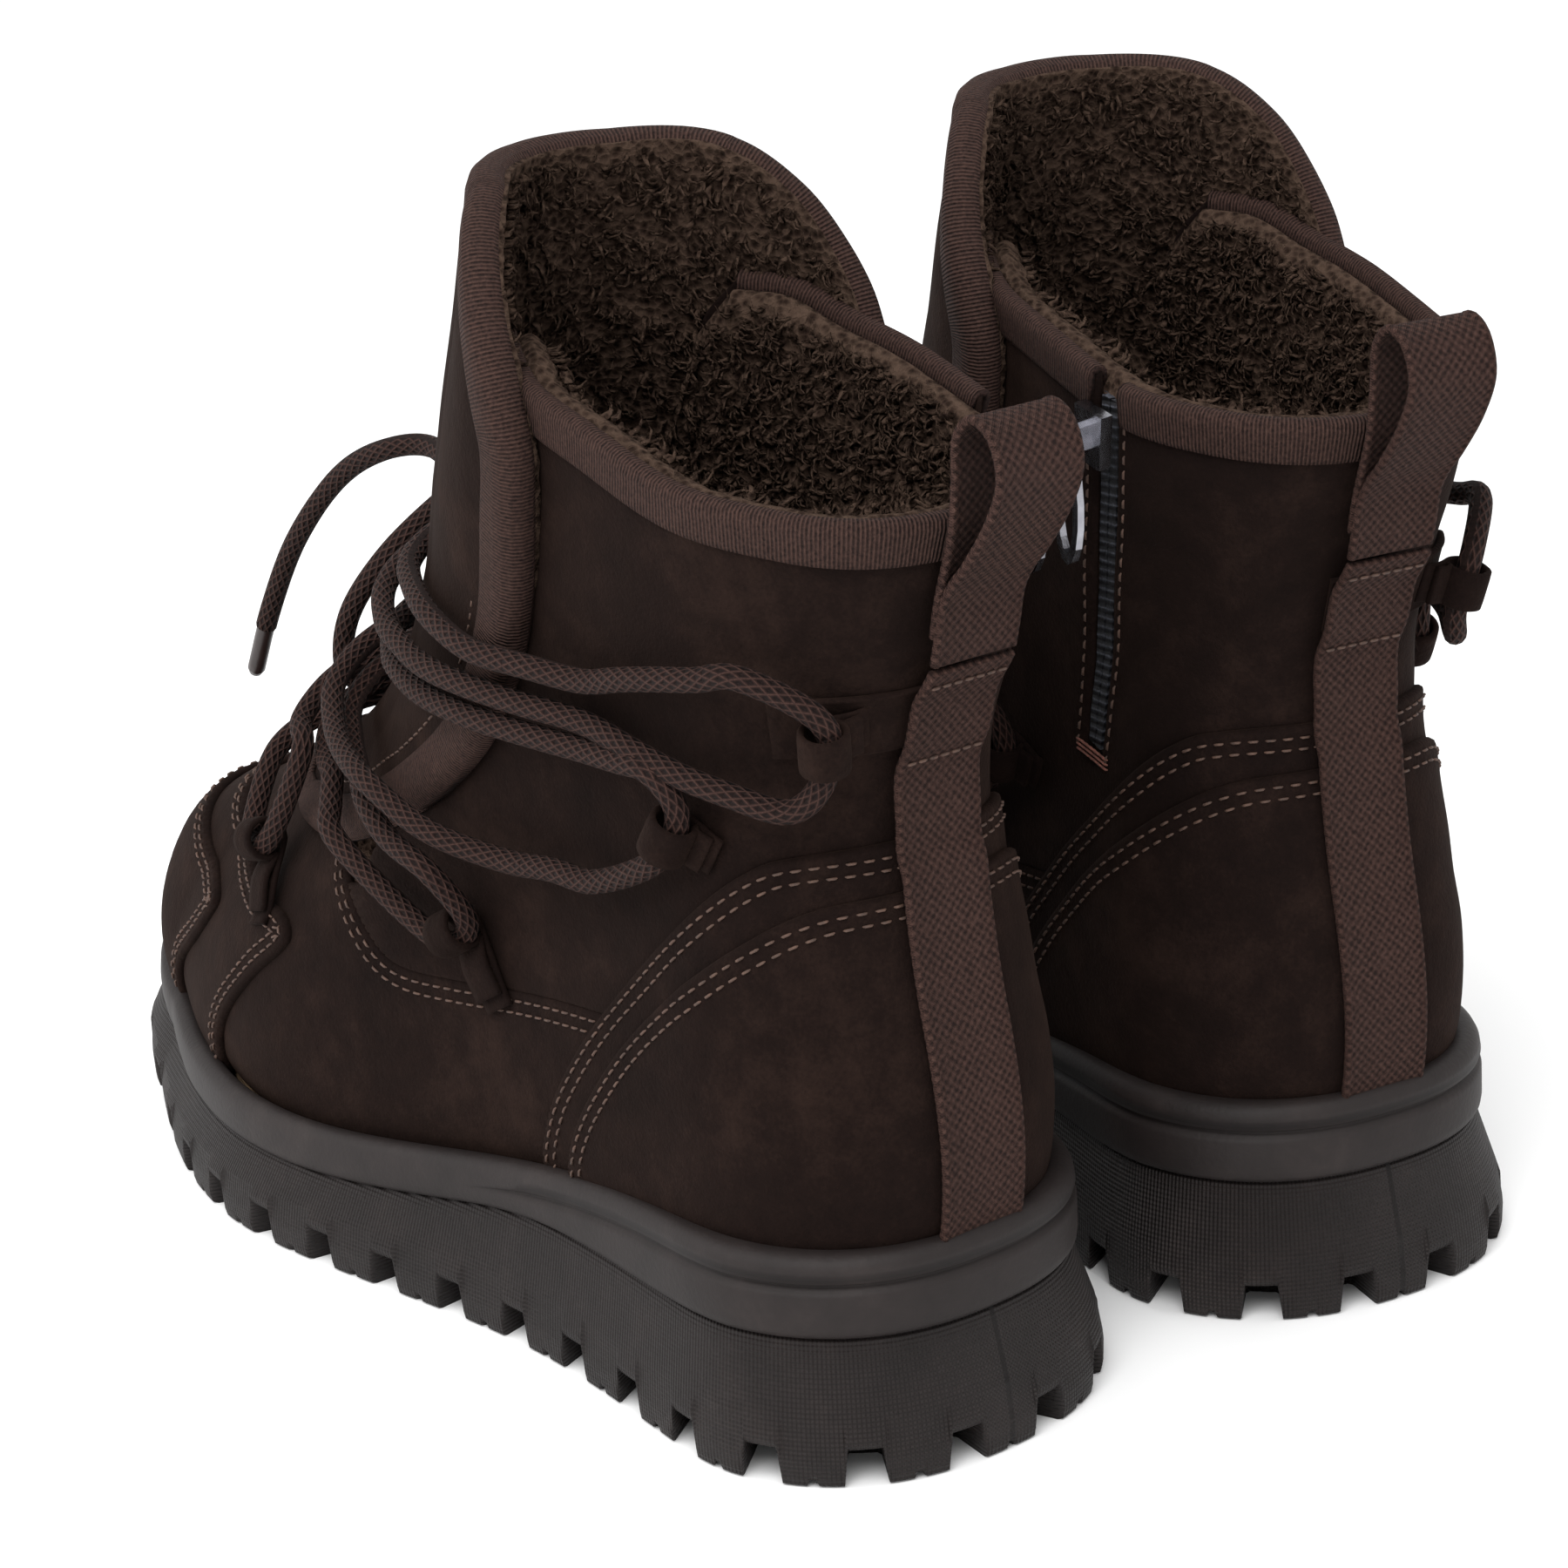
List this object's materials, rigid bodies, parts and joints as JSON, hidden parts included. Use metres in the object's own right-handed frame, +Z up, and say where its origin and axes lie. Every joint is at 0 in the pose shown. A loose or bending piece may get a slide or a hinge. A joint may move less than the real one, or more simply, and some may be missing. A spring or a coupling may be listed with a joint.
{
  "type": "pair of winter boots",
  "caption": "Ankle-high suede winter boots on a thick lug sole: fleece lining, tall wrap-around tongue flap, round lace wound through suede loops, side zip and webbing heel loop.",
  "frame": {"origin": "middle of the pair's footprint box, on the ground", "axes": "+Z up, toes towards -Y, the wearer's left boot at +X and the right boot at -X; metres"},
  "size_m": [0.2266, 0.3046, 0.2262],
  "materials": {
    "suede": "matt brushed suede, dark brown",
    "tape": "woven webbing and ribbed binding, brown",
    "zip_tape": "woven zip tape with coil teeth",
    "lace": "round braided lace, brown",
    "rubber": "matt moulded rubber, dark brown-grey",
    "fleece": "dense curly shearling-like pile",
    "board": "pressed fibre board",
    "steel": "plain steel strip",
    "nickel": "polished black nickel"
  },
  "bodies": {
    "left_boot": {"left_outsole": "rubber", "left_midsole": "rubber", "left_shank": "steel", "left_insole_board": "board", "left_footbed": "fleece", "left_lining": "fleece", "left_heel_counter": "board", "left_vamp": "suede", "left_toe_cap": "suede", "left_toe_overlay": "suede", "left_quarter_outer": "suede", "left_quarter_inner_front": "suede", "left_quarter_inner_rear": "suede", "left_heel_overlay_low": "suede", "left_heel_overlay_high": "suede", "left_tongue_base": "suede", "left_collar_binding": "tape", "left_heel_webbing": "tape", "left_zip_stringer_front": "zip_tape", "left_zip_stringer_rear": "zip_tape", "left_lace_run": "lace", "left_lace_bow": "lace", "left_heel_lace_strap": "suede", "left_ankle_loop_outer": "suede", "left_ankle_loop_inner": "suede"},
    "left_zip_slider": {"left_zip_slider": "nickel"},
    "left_zip_pull": {"left_zip_pull": "nickel"},
    "left_tongue_flap": {"left_tongue_flap": "suede", "left_tongue_binding": "tape"},
    "left_pull_loop": {"left_pull_loop": "tape"},
    "right_boot": {"right_outsole": "rubber", "right_midsole": "rubber", "right_shank": "steel", "right_insole_board": "board", "right_footbed": "fleece", "right_lining": "fleece", "right_heel_counter": "board", "right_vamp": "suede", "right_toe_cap": "suede", "right_toe_overlay": "suede", "right_quarter_outer": "suede", "right_quarter_inner_front": "suede", "right_quarter_inner_rear": "suede", "right_heel_overlay_low": "suede", "right_heel_overlay_high": "suede", "right_tongue_base": "suede", "right_collar_binding": "tape", "right_heel_webbing": "tape", "right_zip_stringer_front": "zip_tape", "right_zip_stringer_rear": "zip_tape", "right_lace_run": "lace", "right_lace_bow": "lace", "right_heel_lace_strap": "suede", "right_ankle_loop_outer": "suede", "right_ankle_loop_inner": "suede"},
    "right_zip_slider": {"right_zip_slider": "nickel"},
    "right_zip_pull": {"right_zip_pull": "nickel"},
    "right_tongue_flap": {"right_tongue_flap": "suede", "right_tongue_binding": "tape"},
    "right_pull_loop": {"right_pull_loop": "tape"}
  },
  "joints": [
    {"name": "right_boot_lift", "type": "slide", "parent": "left_boot", "child": "right_boot", "axis": [0, 0, 1], "range_m": [0, 0.35]},
    {"name": "left_zip_slide", "type": "slide", "parent": "left_boot", "child": "left_zip_slider", "axis": [0.1039, -0.246, -0.9637], "range_m": [0, 0.06]},
    {"name": "left_zip_pull_swing", "type": "hinge", "parent": "left_zip_slider", "child": "left_zip_pull", "pos_m": [0.0052, 0.09078, 0.17093], "axis": [-0.0872, 0.9962, 0], "range_deg": [0, 14]},
    {"name": "left_tongue_fold", "type": "hinge", "parent": "left_boot", "child": "left_tongue_flap", "pos_m": [0.0591, -0.00652, 0.15965], "axis": [0.9962, 0.0872, 0], "range_deg": [0, 25], "stiffness_Nm_per_rad": 0.15},
    {"name": "left_pull_loop_bend", "type": "hinge", "parent": "left_boot", "child": "left_pull_loop", "pos_m": [0.04711, 0.1306, 0.153], "axis": [-0.9962, -0.0872, 0], "range_deg": [0, 60], "stiffness_Nm_per_rad": 0.02},
    {"name": "right_zip_slide", "type": "slide", "parent": "right_boot", "child": "right_zip_slider", "axis": [-0.1039, -0.246, -0.9637], "range_m": [0, 0.06]},
    {"name": "right_zip_pull_swing", "type": "hinge", "parent": "right_zip_slider", "child": "right_zip_pull", "pos_m": [-0.0052, 0.09078, 0.17093], "axis": [-0.0872, -0.9962, 0], "range_deg": [0, 14]},
    {"name": "right_tongue_fold", "type": "hinge", "parent": "right_boot", "child": "right_tongue_flap", "pos_m": [-0.0591, -0.00652, 0.15965], "axis": [0.9962, -0.0872, 0], "range_deg": [0, 25], "stiffness_Nm_per_rad": 0.15},
    {"name": "right_pull_loop_bend", "type": "hinge", "parent": "right_boot", "child": "right_pull_loop", "pos_m": [-0.04711, 0.1306, 0.153], "axis": [-0.9962, 0.0872, 0], "range_deg": [0, 60], "stiffness_Nm_per_rad": 0.02}
  ]
}
